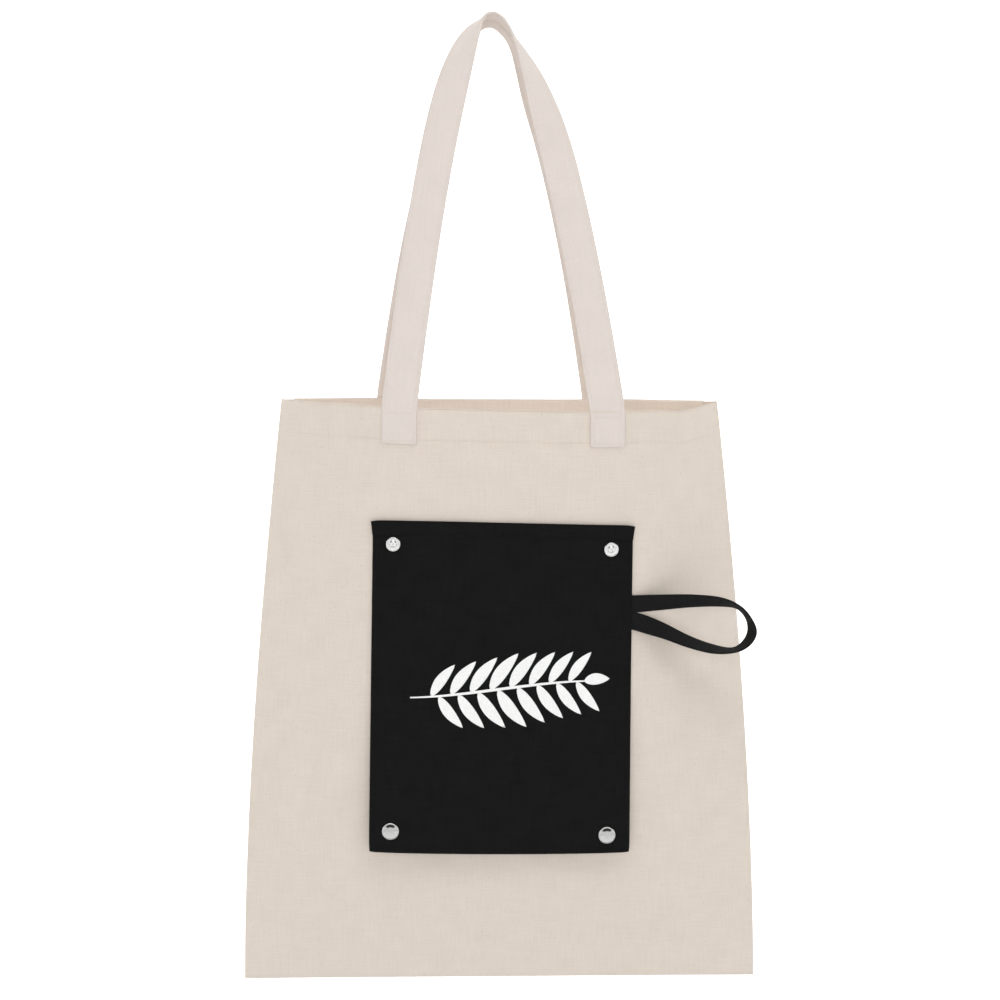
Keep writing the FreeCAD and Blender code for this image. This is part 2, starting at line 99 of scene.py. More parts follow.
def smoothstep(value):
    value = np.clip(value, 0.0, 1.0)
    return value * value * (3.0 - 2.0 * value)


def bell(value):
    return np.exp(-value * value)


def unit(vectors):
    return vectors / np.maximum(np.linalg.norm(vectors, axis=-1, keepdims=True), 1e-12)


def run_along(line):
    """The distance along a line of points, at each of them."""
    return np.concatenate([[0], np.cumsum(np.linalg.norm(np.diff(line, axis=0), axis=1))])


def smooth_line(points, per_span):
    """A Catmull-Rom curve through rows of numbers."""
    points = np.array(points, float)
    padded = np.vstack([2 * points[0] - points[1], points, 2 * points[-1] - points[-2]])
    made = []
    for i in range(len(points) - 1):
        a, b, c, d = padded[i:i + 4]
        for step in np.linspace(0, 1, per_span, endpoint=False):
            made.append(0.5 * (
                2 * b + (c - a) * step + (2 * a - 5 * b + 4 * c - d) * step ** 2
                + (3 * b - a - 3 * c + d) * step ** 3
            ))
    made.append(points[-1])
    return np.array(made)


def new_piece(name, vertices, faces, material):
    mesh = bpy.data.meshes.new(name)
    mesh.from_pydata([tuple(v) for v in vertices], [], faces)
    bm = bmesh.new()
    bm.from_mesh(mesh)
    bmesh.ops.recalc_face_normals(bm, faces=bm.faces)
    bm.to_mesh(mesh)
    bm.free()
    mesh.polygons.foreach_set("use_smooth", [True] * len(mesh.polygons))
    mesh.materials.append(material)
    piece = bpy.data.objects.new(name, mesh)
    bpy.context.scene.collection.objects.link(piece)
    return piece


def grid_normals(grid):
    down = np.gradient(grid, axis=0)
    across = np.gradient(grid, axis=1)
    return unit(np.cross(down, across))


def quads(rows, cols, first=0):
    """The faces of a grid of vertices that is numbered row by row."""
    index = first + np.arange(rows * cols).reshape(rows, cols)
    corners = [index[:-1, :-1], index[1:, :-1], index[1:, 1:], index[:-1, 1:]]
    return np.stack([c.ravel() for c in corners], 1).tolist()


def shell(name, grid, above, below, material, place=None):
    """A closed sheet of cloth about a grid of points, with rounded edges.

    above and below are the distances of its two faces from the grid. place holds each
    point's position on the flat cloth, which the weave follows.
    """
    rows, cols = grid.shape[:2]
    count = rows * cols
    normal = grid_normals(grid)
    top = grid + normal * above
    bottom = grid - normal * below
    outward = np.zeros_like(grid)
    outward[0] += grid[0] - grid[1]
    outward[-1] += grid[-1] - grid[-2]
    outward = unit(outward)
    sideways = np.zeros_like(grid)
    sideways[:, 0] += grid[:, 0] - grid[:, 1]
    sideways[:, -1] += grid[:, -1] - grid[:, -2]
    outward = unit(outward + unit(sideways))
    index = np.arange(count).reshape(rows, cols)
    ring = np.concatenate([
        index[0, :-1], index[:-1, -1], index[-1, :0:-1], index[:0:-1, 0],
    ])
    middle = (top + bottom).reshape(-1, 3)[ring] / 2
    rim = middle + outward.reshape(-1, 3)[ring] * (above + below) / 2
    faces = quads(rows, cols) + [f[::-1] for f in quads(rows, cols, count)]
    following = np.roll(ring, -1)
    edge = 2 * count + np.arange(len(ring))
    next_edge = np.roll(edge, -1)
    faces += np.stack([ring, edge, next_edge, following], 1).tolist()
    faces += np.stack([following + count, next_edge, edge, ring + count], 1).tolist()
    points = np.concatenate([top.reshape(-1, 3), bottom.reshape(-1, 3), rim])
    piece = new_piece(name, points, faces, material)
    if place is None:
        place = flat_place(grid)
    flat = place.reshape(-1, 2)
    flat = np.concatenate([flat, flat, flat[ring]])
    layer = np.concatenate([np.zeros(count), np.ones(count), np.zeros(len(ring))])[:, None]
    attribute = piece.data.attributes.new("cloth_place", "FLOAT_VECTOR", "POINT")
    attribute.data.foreach_set("vector", np.hstack([flat, layer]).astype(np.float32).ravel())
    return piece


def flat_place(grid):
    """Where each point of a grid lies on the flat cloth, measured from its middle."""
    def lengths(axis):
        steps = np.linalg.norm(np.diff(grid, axis=axis), axis=-1)
        pad = [(0, 0), (0, 0)]
        pad[axis] = (1, 0)
        run = np.cumsum(np.pad(steps, pad), axis=axis)
        return run - np.take(run, [grid.shape[axis] // 2], axis=axis)

    return np.stack([lengths(1), lengths(0)], -1)


STITCH_RISE = (-0.9, 0.15, 0.5, 0.15, -0.9)    # of the thread's radius, along a stitch
STITCH_THICK = (0.55, 0.95, 1.0, 0.95, 0.55)


def tube_faces(rings, sides, first=0):
    """The walls and two ends of a tube whose vertices are numbered ring by ring."""
    faces = []
    for i in range(rings - 1):
        for k in range(sides):
            a = first + i * sides + k
            b = first + i * sides + (k + 1) % sides
            faces.append([a, b, b + sides, a + sides])
    last = first + (rings - 1) * sides
    faces.append([first + k for k in reversed(range(sides))])
    faces.append([last + k for k in range(sides)])
    return faces


def thread(name, rows, material, pitch, radius, share=0.74):
    """Stitching: one short arched piece of thread per stitch, along rows of (points, normals).

    share is how much of each pitch shows on this face of the cloth.
    """
    sides = 6
    vertices = []
    faces = []
    for line, normals in rows:
        run = run_along(line)
        count = max(1, int(run[-1] / pitch))
        start = (np.arange(count) + (1 - share) / 2) * run[-1] / count
        reach = share * run[-1] / count

        def at(values, distance):
            return np.stack([np.interp(distance, run, values[:, k]) for k in range(3)], -1)

        along = unit(at(line, start + reach) - at(line, start))
        up = unit(at(normals, start + reach / 2))
        side = unit(np.cross(along, up))
        rings = []
        for i, (rise, thick) in enumerate(zip(STITCH_RISE, STITCH_THICK)):
            centre = at(line, start + reach * i / (len(STITCH_RISE) - 1)) + up * radius * rise
            for k in range(sides):
                angle = math.tau * k / sides
                spoke = side * math.cos(angle) + up * math.sin(angle)
                rings.append(centre + spoke * radius * thick)
        rings = np.stack(rings, 1)
        for stitch in rings:
            faces += tube_faces(len(STITCH_RISE), sides, len(vertices))
            vertices.extend(stitch)
    return new_piece(name, vertices, faces, material)


def lathe(name, profile, place, material):
    """Spin an outline of (radius, height) points about the Z axis of a placement."""
    segments = 56
    vertices = []
    for radius, height in profile:
        for k in range(segments):
            angle = math.tau * k / segments
            vertices.append(place @ Vector((
                radius * math.cos(angle), radius * math.sin(angle), height)))
    return new_piece(name, vertices, tube_faces(len(profile), segments), material)


# ---- materials

def set_stops(color_ramp, stops):
    elements = color_ramp.elements
    elements.remove(elements[1])
    for i, (at, colour) in enumerate(stops):
        element = elements[0] if i == 0 else elements.new(at)
        element.position = at
        element.color = (*colour, 1.0)


class Recipe:
    """A Principled material and the nodes that feed it."""

    def __init__(self, name, **sockets):
        self.material = bpy.data.materials.new(name)
        self.material.use_nodes = True
        self.tree = self.material.node_tree
        self.shader = self.tree.nodes["Principled BSDF"]
        for socket, value in sockets.items():
            self.shader.inputs[socket.replace("_", " ")].default_value = value

    def add(self, kind, settings=None, **inputs):
        node = self.tree.nodes.new(kind)
        for key, value in (settings or {}).items():
            setattr(node, key, value)
        for key, value in inputs.items():
            socket = node.inputs[int(key[1:])] if key[1:].isdigit() else node.inputs[key]
            if isinstance(value, bpy.types.NodeSocket):
                self.tree.links.new(value, socket)
            else:
                socket.default_value = value
        return node

    def wave(self, vector, pitch, direction="X", **settings):
        """Ribs a pitch apart; the texture runs through 20 radians per unit."""
        return self.add(
            "ShaderNodeTexWave", {"bands_direction": direction},
            Vector=vector, Scale=math.tau / 20 / pitch, **settings).outputs["Fac"]

    def math(self, operation, a, b=0.0):
        return self.add("ShaderNodeMath", {"operation": operation}, i0=a, i1=b).outputs[0]

    def place(self):
        return self.add("ShaderNodeAttribute", {"attribute_name": "cloth_place"}).outputs["Vector"]

    def noise(self, vector, scale, stretch=(1, 1, 1), detail=2.0, roughness=0.5):
        mapped = self.add("ShaderNodeMapping", Vector=vector, Scale=stretch).outputs[0]
        return self.add(
            "ShaderNodeTexNoise", Vector=mapped, Scale=scale, Detail=detail, Roughness=roughness,
        ).outputs["Fac"]

    def ramp(self, value, stops):
        node = self.add("ShaderNodeValToRGB", Fac=value)
        set_stops(node.color_ramp, stops)
        return node.outputs["Color"]

    def connect(self, output, socket):
        self.tree.links.new(output, self.shader.inputs[socket])

    def paint(self, value, stops):
        self.connect(self.ramp(value, stops), "Base Color")

    def emboss(self, height, strength, distance):
        bump = self.add("ShaderNodeBump", Strength=strength, Distance=distance, Height=height)
        self.connect(bump.outputs[0], "Normal")


def tint(colour, factor):
    return tuple(min(1.0, c * factor) for c in colour)


def weave_height(recipe, place, pitch):
    """Plain weave: threads that go over and under each other, pitch apart."""
    warp = recipe.wave(place, pitch, "X", Distortion=0.6, Detail=1.0)
    weft = recipe.wave(place, pitch, "Y", Distortion=0.6, Detail=1.0)
    over = recipe.add("ShaderNodeTexChecker", Vector=place, Scale=1 / pitch).outputs["Fac"]
    return recipe.add(
        "ShaderNodeMix", {"data_type": "FLOAT"}, i0=over, i2=warp, i3=weft).outputs[0]


def cotton(name, colour, pitch, contrast, relief, sheen, gloss=0.15, fleck=None):
    """Plain-woven cotton whose threads are uneven, so that light and dark streaks cross.

    fleck is the colour of the specks of seed husk in unbleached cloth.
    """
    recipe = Recipe(
        name, Roughness=0.92, Sheen_Weight=sheen, Sheen_Roughness=0.6, Specular_IOR_Level=gloss)
    place = recipe.place()
    weave = weave_height(recipe, place, pitch)
    warp_slubs = recipe.noise(place, 900, stretch=(1, 0.05, 1))
    weft_slubs = recipe.noise(place, 900, stretch=(0.05, 1, 1))
    slubs = recipe.math("ADD", warp_slubs, weft_slubs)
    cloud = recipe.noise(place, 55, detail=3.0)
    tone = recipe.math(
        "ADD", recipe.math("MULTIPLY", slubs, 0.35), recipe.math("MULTIPLY", cloud, 0.3))
    colour_out = recipe.ramp(tone, [
        (0.3, tint(colour, 1 - contrast)), (0.5, colour), (0.7, tint(colour, 1 + contrast)),
    ])
    if fleck:
        specks = recipe.noise(place, 900, detail=0.0)
        mask = recipe.ramp(specks, [(0.76, (0, 0, 0)), (0.84, (1, 1, 1))])
        mixed = recipe.add(
            "ShaderNodeMix", {"data_type": "RGBA"}, i0=mask, i6=colour_out, i7=(*fleck, 1.0))
        colour_out = mixed.outputs[2]
    recipe.connect(colour_out, "Base Color")
    height = recipe.math("ADD", weave, recipe.math("MULTIPLY", slubs, 0.5))
    recipe.emboss(height, strength=relief, distance=0.12 * MM)
    return recipe.material


def ribbed_tape(name, colour):
    """Narrow woven tape, with fine ribs across it and a herringbone down its length."""
    recipe = Recipe(
        name, Roughness=0.85, Sheen_Weight=0.02, Sheen_Roughness=0.5, Specular_IOR_Level=0.2)
    place = recipe.place()
    split = recipe.add("ShaderNodeSeparateXYZ", Vector=place)
    across = recipe.math("ABSOLUTE", split.outputs[0])
    slant = recipe.math("ADD", split.outputs[1], across)
    turned = recipe.add("ShaderNodeCombineXYZ", X=slant, Y=split.outputs[0])
    ribs = recipe.wave(turned.outputs[0], 0.9 * MM, Distortion=0.4)
    tone = recipe.noise(place, 700, detail=2.0)
    recipe.paint(tone, [(0.3, tint(colour, 0.75)), (0.7, tint(colour, 1.3))])
    recipe.emboss(ribs, strength=0.5, distance=0.15 * MM)
    return recipe.material


def plain_thread(name, colour, sheen=0.2, gloss=0.35):
    recipe = Recipe(name, Roughness=0.7, Sheen_Weight=sheen, Specular_IOR_Level=gloss)
    place = recipe.add("ShaderNodeTexCoord").outputs["Object"]
    twist = recipe.noise(place, 2600, detail=1.0)
    recipe.paint(twist, [(0.35, tint(colour, 0.86)), (0.65, tint(colour, 1.08))])
    return recipe.material


def nickel(name, dull, bright):
    recipe = Recipe(name, Metallic=1.0)
    place = recipe.add("ShaderNodeTexCoord").outputs["Object"]
    fine = recipe.noise(place, 900, detail=4.0, roughness=0.6)
    recipe.paint(fine, [(0.3, dull), (0.7, bright)])
    rough = recipe.add(
        "ShaderNodeMapRange", Value=fine, **{"From Min": 0.3, "From Max": 0.7,
                                            "To Min": 0.07, "To Max": 0.16})
    recipe.connect(rough.outputs[0], "Roughness")
    return recipe.material


def white_ink(name):
    recipe = Recipe(name, Roughness=0.6, Specular_IOR_Level=0.4)
    place = recipe.place()
    weave = weave_height(recipe, place, FINE_WEAVE)
    worn = recipe.noise(place, 500, detail=3.0)
    recipe.paint(worn, [(0.3, (0.86, 0.86, 0.85)), (0.6, (0.93, 0.93, 0.92))])
    recipe.emboss(weave, strength=0.25, distance=0.05 * MM)
    return recipe.material


CANVAS_COLOUR = (0.72, 0.64, 0.565)
STRAP_COLOUR = (0.732, 0.66, 0.614)
BLACK = (0.0096, 0.0096, 0.0098)
WEAVE = 0.5 * MM             # pitch of the natural cloth's threads
FINE_WEAVE = 0.42 * MM       # and of the black cloth's
canvas = cotton(
    "canvas", CANVAS_COLOUR, WEAVE, contrast=0.06, relief=0.22, sheen=0.1,
    fleck=(0.55, 0.46, 0.36))
strap_cloth = cotton(
    "strap_cloth", STRAP_COLOUR, WEAVE, contrast=0.05, relief=0.3, sheen=0.1)
black_cloth = cotton(
    "black_cloth", BLACK, FINE_WEAVE, contrast=0.25, relief=0.4, sheen=0.0, gloss=0.05)
black_tape = ribbed_tape("black_tape", (0.006, 0.006, 0.0063))
natural_thread = plain_thread("natural_thread", (0.70, 0.64, 0.56))
black_thread = plain_thread("black_thread", (0.007, 0.007, 0.0073), sheen=0.0, gloss=0.12)
cap_metal = nickel("cap_nickel", (0.54, 0.54, 0.53), (0.69, 0.69, 0.675))
stud_metal = nickel("stud_nickel", (0.8, 0.8, 0.79), (0.93, 0.93, 0.92))
ink = white_ink("white_ink")


# ---- camera, light and floor

CAMERA_PLACE = Vector((-95.5, -2187.8, -138.1)) * MM
CAMERA_TARGET = Vector((0.0, 0.0, -349.0)) * MM
FRAME_WIDTH = 739.0 * MM       # what the picture shows from side to side, at the target
TARGET_DISTANCE = 2200.0 * MM


def make_camera():
    data = bpy.data.cameras.new("camera")
    data.sensor_width = 36.0
    data.lens = data.sensor_width * TARGET_DISTANCE / FRAME_WIDTH
    data.clip_start = 0.05
    data.clip_end = 30.0
    camera = bpy.data.objects.new("camera", data)
    camera.location = CAMERA_PLACE
    camera.rotation_euler = (CAMERA_TARGET - CAMERA_PLACE).to_track_quat("-Z", "Y").to_euler()
    bpy.context.scene.collection.objects.link(camera)
    bpy.context.scene.camera = camera


def area_light(name, place, size, power, target=(0, 0, -0.4), mirrored=True):
    data = bpy.data.lights.new(name, "AREA")
    data.shape = "RECTANGLE"
    data.size, data.size_y = size
    data.energy = power
    light = bpy.data.objects.new(name, data)
    light.location = place
    light.visible_camera = False
    light.visible_glossy = mirrored
    light.rotation_euler = (Vector(target) - Vector(place)).to_track_quat("-Z", "Y").to_euler()
    bpy.context.scene.collection.objects.link(light)


# the room's brightness, from the horizon (0) to straight up (1)
SKY = ((0.0, 1.0), (0.25, 1.0), (0.33, 0.08), (0.66, 0.04), (0.72, 0.95), (1.0, 0.95))


def make_world():
    """An even white room with a dark band above the bag, for the snaps to mirror."""
    world = bpy.data.worlds.new("studio")
    world.use_nodes = True
    bpy.context.scene.world = world
    tree = world.node_tree
    background = tree.nodes["Background"]
    background.inputs["Strength"].default_value = 0.9
    coordinates = tree.nodes.new("ShaderNodeTexCoord")
    split = tree.nodes.new("ShaderNodeSeparateXYZ")
    ramp = tree.nodes.new("ShaderNodeValToRGB")
    tree.links.new(coordinates.outputs["Generated"], split.inputs[0])
    tree.links.new(split.outputs[2], ramp.inputs["Fac"])
    tree.links.new(ramp.outputs["Color"], background.inputs["Color"])
    set_stops(ramp.color_ramp, [(at, (level, level, level)) for at, level in SKY])


FLOOR_Z = -1.3
FLOOR_FRONT = -4.5
FLOOR_END = 1.6              # where the backdrop starts to curve up
BACKDROP_BEND = 1.6          # radius of that curve
BACKDROP_TOP = 9.0
STAGE_HALF_WIDTH = 14.0
PALE = (0.9, 0.9, 0.9, 1.0)
WHITE = (1.0, 1.0, 1.0, 1.0)


def staged_sheet(name, depth, height, glow):
    """A wide pale sheet that runs through (depth, height) points."""
    width = np.linspace(-STAGE_HALF_WIDTH, STAGE_HALF_WIDTH, 5)
    grid = np.stack(np.broadcast_arrays(width[None, :], depth[:, None], height[:, None]), -1)
    recipe = Recipe(name, Roughness=0.9, Emission_Strength=glow)
    recipe.shader.inputs["Base Color"].default_value = PALE
    recipe.shader.inputs["Emission Color"].default_value = WHITE
    new_piece(name, grid.reshape(-1, 3), quads(*grid.shape[:2]), recipe.material)


def make_floor():
    """A pale floor in front of a bright backdrop that curves up well behind the bag."""
    staged_sheet("floor", np.array([FLOOR_FRONT, FLOOR_END]), np.full(2, FLOOR_Z), glow=0.0)
    curve = np.linspace(0, math.pi / 2, 16)
    depth = FLOOR_END + BACKDROP_BEND * np.sin(curve)
    height = FLOOR_Z + BACKDROP_BEND * (1 - np.cos(curve))
    staged_sheet(
        "backdrop", np.append(depth, depth[-1]), np.append(height, BACKDROP_TOP), glow=0.7)


def make_lights():
    area_light(
        "key", place=(0.15, -1.6, 2.3), size=(2.6, 1.8), power=26.0, target=(0, 0, -0.3))
    for hand in (-1, 1):
        area_light(
            f"side_{hand}", place=(2.2 * hand, -0.7, 0.1), size=(1.2, 1.2), power=5.5,
            target=(0, 0, -0.45))
    for towards in (FRONT, BACK):
        # the light that comes through the thin cloth into the open bag
        area_light(
            f"inside_{towards}", place=(0, -0.02 * towards, -0.44), size=(0.26, 0.26),
            power=0.11, target=(0, 1.0 * towards, -0.44))
    # a lamp beside the camera keeps shadows pale; the metal doesn't mirror it
    area_light(
        "front", place=(-0.1, -2.15, -0.1), size=(0.8, 0.8), power=7.0,
        target=(0, 0, -0.45), mirrored=False)


make_camera()
make_world()
make_floor()
make_lights()
scene_view = bpy.context.scene.view_settings
scene_view.view_transform = "Standard"
scene_view.look = "None"


# ---- shape of the open bag

def half_width(drop):
    """Centre to side seam, at a drop below the rim."""
    left_over = np.clip(1.0 - drop / BAG_HEIGHT, 0.0, None)
    return BASE_HALF_WIDTH - (BASE_HALF_WIDTH - RIM_HALF_WIDTH) * left_over ** SIDE_CURVE


def half_depth(drop):
    """Centre to the flat middle of a panel: straight down to the fold, then closing smoothly."""
    slope = -math.tan(LEAN)
    upper = RIM_HALF_DEPTH + slope * drop
    fold = RIM_HALF_DEPTH + slope * FOLD_DROP
    span = BAG_HEIGHT - FOLD_DROP
    t = np.clip((drop - FOLD_DROP) / span, 0.0, 1.0)
    lower = (
        (2 * t ** 3 - 3 * t ** 2 + 1) * fold + (t ** 3 - 2 * t ** 2 + t) * span * slope
        + (3 * t ** 2 - 2 * t ** 3) * BASE_HALF_DEPTH + (t ** 3 - t ** 2) * span * BASE_SLOPE
    )
    return np.where(drop < FOLD_DROP, upper, lower)


def ripple(x, drop, face):
    """How far the slack cloth stands out of its smooth shape."""
    side = np.abs(x)
    below_hem = np.clip(drop - HEM, 0.0, None)
    # ridges that run down from the handles' feet, and a hollow beside each
    pulls = bell((side - FOOT_X) / (17 * MM)) * np.exp(-below_hem / (70 * MM)) * 0.9 * MM
    beside = (
        bell((side - FOOT_X - 34 * MM) / (15 * MM)) * np.exp(-below_hem / (55 * MM)) * 0.8 * MM)
    # long shallow waves, short ones near the bottom, and the rim's own
    slow = (
        1.3 * MM * np.sin(x / (37 * MM) + drop / (95 * MM) + 0.6 * face)
        * np.sin(drop / (71 * MM) + 0.9)
    )
    low = smoothstep((drop - 300 * MM) / (90 * MM))
    slack = 0.9 * MM * low * np.sin(x / (14 * MM) + 1.4 * np.sin(drop / (36 * MM)) + face)
    sway = 1.2 * MM * np.exp(-drop / (60 * MM)) * np.sin(x / (26 * MM) + 1.1 * face)
    return pulls - beside + slow + slack + sway


def panel_depth(x, drop, face):
    """Distance of a panel's outer face from the bag's middle plane.

    square is how sharply the panel turns in to its side seams, less so near the bottom.
    """
    width = half_width(drop)
    inset = np.clip(width - np.abs(x), 0.0, None) / (width - FACET)
    square = 10.0 - 6.0 * smoothstep((drop - 320 * MM) / (108 * MM))
    share = inset / (1.0 + inset ** square) ** (1.0 / square)
    closing = np.clip((BAG_HEIGHT - drop) / (40 * MM), 0.0, 1.0)
    waves = ripple(x, drop, face) * smoothstep(inset * 2.2) * closing
    return SEAM_HALF_DEPTH + (half_depth(drop) - SEAM_HALF_DEPTH) * share + waves


def hem_relief(x, drop):
    """The doubled cloth along the rim is thicker, and its stitches draw it in."""
    doubled = 0.3 * MM * smoothstep((HEM + 1.5 * MM - drop) / (3 * MM))
    pucker = 1 + 0.5 * np.sin(x / (1.7 * MM)) * np.sin(x / (2.9 * MM))
    drawn = 0.28 * MM * bell((drop - STITCH_DROP) / (1.3 * MM)) * pucker
    return (doubled - drawn) * smoothstep((RIM_HALF_WIDTH - np.abs(x)) / (12 * MM))


def rim_lift(x, drop, face):
    """The rim is drawn up at its two corners, and the front hangs skew and droops on its right."""
    side = x / RIM_HALF_WIDTH
    corner = -1.25 * side + 3.75 * np.abs(side) ** 3
    skew = 0.9 * np.sin(math.pi * np.clip(side, -1, 1))
    droop = 3.6 * bell((side - 0.83) / 0.115) - 1.5 * bell((side + 0.68) / 0.14)
    return (corner - (skew + droop) * (face == FRONT)) * MM * bell(drop / (75 * MM))


def hang_skew(x, drop):
    """The bag hangs a little lower on its right side, towards the bottom."""
    return 0.75 * MM * (1 + x / BASE_HALF_WIDTH) * (drop / BAG_HEIGHT) ** 2


def panel_point(x, drop, face, out=0.0):
    y = (panel_depth(x, drop, face) + hem_relief(x, drop) + out) * face
    z = RIM_Z - drop + rim_lift(x, drop, face) - hang_skew(x, drop)
    return np.stack(np.broadcast_arrays(x, y, z), -1)


SPREAD = np.sin(np.linspace(-1, 1, 181) * 1.3) / math.sin(1.3)   # closer near the seams
FACES = (("front", FRONT), ("back", BACK))


def fold_with_bottom(piece):
    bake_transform(piece)


def hem_drops(lowest):
    """Drops from the top of the turned edge, closely spaced round it and at its stitches."""
    roll = HEM_ROLL * (1 - np.cos(np.linspace(0, 1, 5) * math.pi / 2))
    plain = np.linspace(HEM_ROLL, STITCH_DROP - 2.5 * MM, 9)[1:]
    near_stitches = np.arange(STITCH_DROP - 1.8 * MM, lowest + 0.1 * MM, 0.6 * MM)
    return np.concatenate([roll, plain, near_stitches])


def rolled_in(drop):
    """How far the cloth has turned in at the rim."""
    left = np.clip(1 - drop / HEM_ROLL, 0.0, 1.0)
    return HEM_ROLL * (1 - np.sqrt(1 - left ** 2)) * 0.9


def make_panel(side, face):
    edge = hem_drops(HEM + 3 * MM)
    drops = np.concatenate([edge, np.linspace(edge[-1], BAG_HEIGHT, 118)[1:]])
    roll = rolled_in(drops)[:, None] * smoothstep(30 * (1 - np.abs(SPREAD[None, :])))
    x = half_width(drops)[:, None] * SPREAD[None, :]
    grid = panel_point(x, drops[:, None], face, out=-roll)
    panel = shell(f"{side}_panel_cloth", grid[:, ::-face], 0.0, CLOTH, canvas)
    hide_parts(f"{side}_panel", f"{side}_panel_bottom")
    fold_with_bottom(panel)
    return panel


def make_hem(side, face):
    """The band turned in behind the rim."""
    spread = SPREAD * (1 - 9 * MM / RIM_HALF_WIDTH)
    drops = hem_drops(HEM)
    x = half_width(drops)[:, None] * spread[None, :]
    grid = panel_point(
        x, drops[:, None], face, out=rolled_in(drops)[:, None] - CLOTH - 0.1 * MM)
    hem = shell(f"{side}_hem_band", grid[:, ::-face], 0.0, CLOTH, canvas)
    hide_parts(f"{side}_hem")
    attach(hem, "bag")
    return hem


def hem_stitches(side, face):
    """Two faces of the same seam: outside on the panel, inside on the hem."""
    x = np.linspace(-1, 1, 260) * (half_width(np.array(HEM)) - 10 * MM)
    drop = np.full_like(x, STITCH_DROP)
    outside = panel_point(x, drop, face, out=0.05 * MM)
    inside = panel_point(x, drop, face, out=-(2 * CLOTH + 0.15 * MM))
    outward = np.tile([0.0, float(face), 0.0], (len(x), 1))
    row = thread(
        f"{side}_hem_stitching", [(outside, outward), (inside, -outward)],
        natural_thread, pitch=2.6 * MM, radius=0.24 * MM)
    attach(row, "bag")
    return row


for side, face in FACES:
    panel = make_panel(side, face)
    hem = make_hem(side, face)
    stitching = hem_stitches(side, face)


# ---- seam allowances inside the bag

SEAM = 8.0 * MM


def side_allowance(side, hand):
    """Two cloth edges, sewn together and overlocked, that stand into the bag along its side."""
    drops = np.linspace(1.5 * MM, BAG_HEIGHT - 1 * MM, 90)
    inward = np.linspace(0.6 * MM, SEAM, 5)
    curl = 0.5 * MM * np.sin(drops / (23 * MM))[:, None] * (inward / SEAM)[None, :] ** 2
    x = hand * (half_width(drops)[:, None] - inward[None, :])
    z = RIM_Z - drops[:, None] + rim_lift(x, drops[:, None], BACK) - hang_skew(x, drops[:, None])
    grid = np.stack(np.broadcast_arrays(x, curl, z), -1)
    allowance = shell(f"{side}_seam_allowance", grid, CLOTH / 2, CLOTH / 2, canvas)
    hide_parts(f"{side}_seam", f"{side}_seam_bottom")
    fold_with_bottom(allowance)
    edge = grid[:, -1] + np.array([hand * 0.2 * MM, 0, 0])
    overlock = overlock_thread(f"{side}_seam_overlock", edge, np.array([hand, 0.0, 0.0]))
    fold_with_bottom(overlock)


def overlock_thread(name, edge, inward):
    """Thread that loops over a cloth edge: short slanting stitches on both its faces."""
    run = run_along(edge)
    pitch = 3.0 * MM
    rows = []
    for k in range(int(run[-1] / pitch)):
        ends = [k * pitch, (k + 0.55) * pitch]
        a, b = (np.array([np.interp(e, run, edge[:, i]) for i in range(3)]) for e in ends)
        for face in (FRONT, BACK):
            lift = np.array([0.0, face * (CLOTH / 2 + 0.1 * MM), 0.0])
            line = np.array([a + lift, b + lift + inward * 4.0 * MM])
            rows.append((line, np.tile([0.0, float(face), 0.0], (2, 1))))
    return thread(name, rows, natural_thread, pitch=6 * MM, radius=0.2 * MM, share=0.96)


def bottom_allowance():
    reach = float(half_width(np.array(BAG_HEIGHT))) - SEAM - 0.8 * MM
    x = np.linspace(-reach, reach, 90)
    rise = np.linspace(0.8 * MM, SEAM, 5)
    curl = 0.4 * MM * np.sin(x / (31 * MM))[None, :] * (rise / SEAM)[:, None] ** 2
    grid = np.stack(np.broadcast_arrays(
        x[None, :], curl, RIM_Z - BAG_HEIGHT + rise[:, None] - hang_skew(x, BAG_HEIGHT)), -1)
    allowance = shell("bottom_seam_allowance", grid, CLOTH / 2, CLOTH / 2, canvas)
    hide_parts("bottom_seam")
    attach(allowance, "bag_bottom")


for side, hand in (("left", -1), ("right", 1)):
    side_allowance(side, hand)
bottom_allowance()


# ---- handles

Leg = namedtuple("Leg", "foot power bow turn_from turn_over slow")
# foot: its middle, from the bag's. power: how the leg falls away from the crown. bow: how far it
# bulges outwards or inwards. The strap turns from crossways to flat over a share of the leg,
# turn_over, that starts at turn_from, and slow is the part of the turn that runs down to the foot.
Handle = namedtuple("Handle", "face crown left right")
HANDLES = {
    "front": Handle(
        FRONT, -5.8 * MM,
        Leg(-75.0 * MM, 2.85, 6.8 * MM, 0.08, 0.63, 0.3),
        Leg(74.6 * MM, 1.66, 1.6 * MM, 0.08, 0.49, 0.3)),
    "back": Handle(
        BACK, -6.0 * MM,
        Leg(-78.0 * MM, 2.45, 5.1 * MM, 0.3, 0.68, 0.4),
        Leg(78.0 * MM, 1.6, 3.4 * MM, 0.13, 0.3, 0.4)),
}


def arch_point(t, handle):
    """Middle of a handle's free part, from t = -1 at its left foot to 1 at its right foot."""
    leg = handle.left if t < 0 else handle.right
    down = abs(t)
    fall = down ** leg.power
    crown_y = CROWN_Y * handle.face
    crown_z = CROWN_LIFT + STRAP_THICK / 2 - crown_y * math.tan(CROWN_SLOPE)
    foot_y = (RIM_HALF_DEPTH + STRAP_THICK / 2) * handle.face
    foot_z = RIM_Z + float(rim_lift(leg.foot, 0.0, handle.face))
    return Vector((
        leg.foot * down + handle.crown * (1 - down) ** 2 + leg.bow * 4 * down * (1 - down),
        crown_y + (foot_y - crown_y) * fall,
        crown_z + (foot_z - crown_z) * fall,
    ))


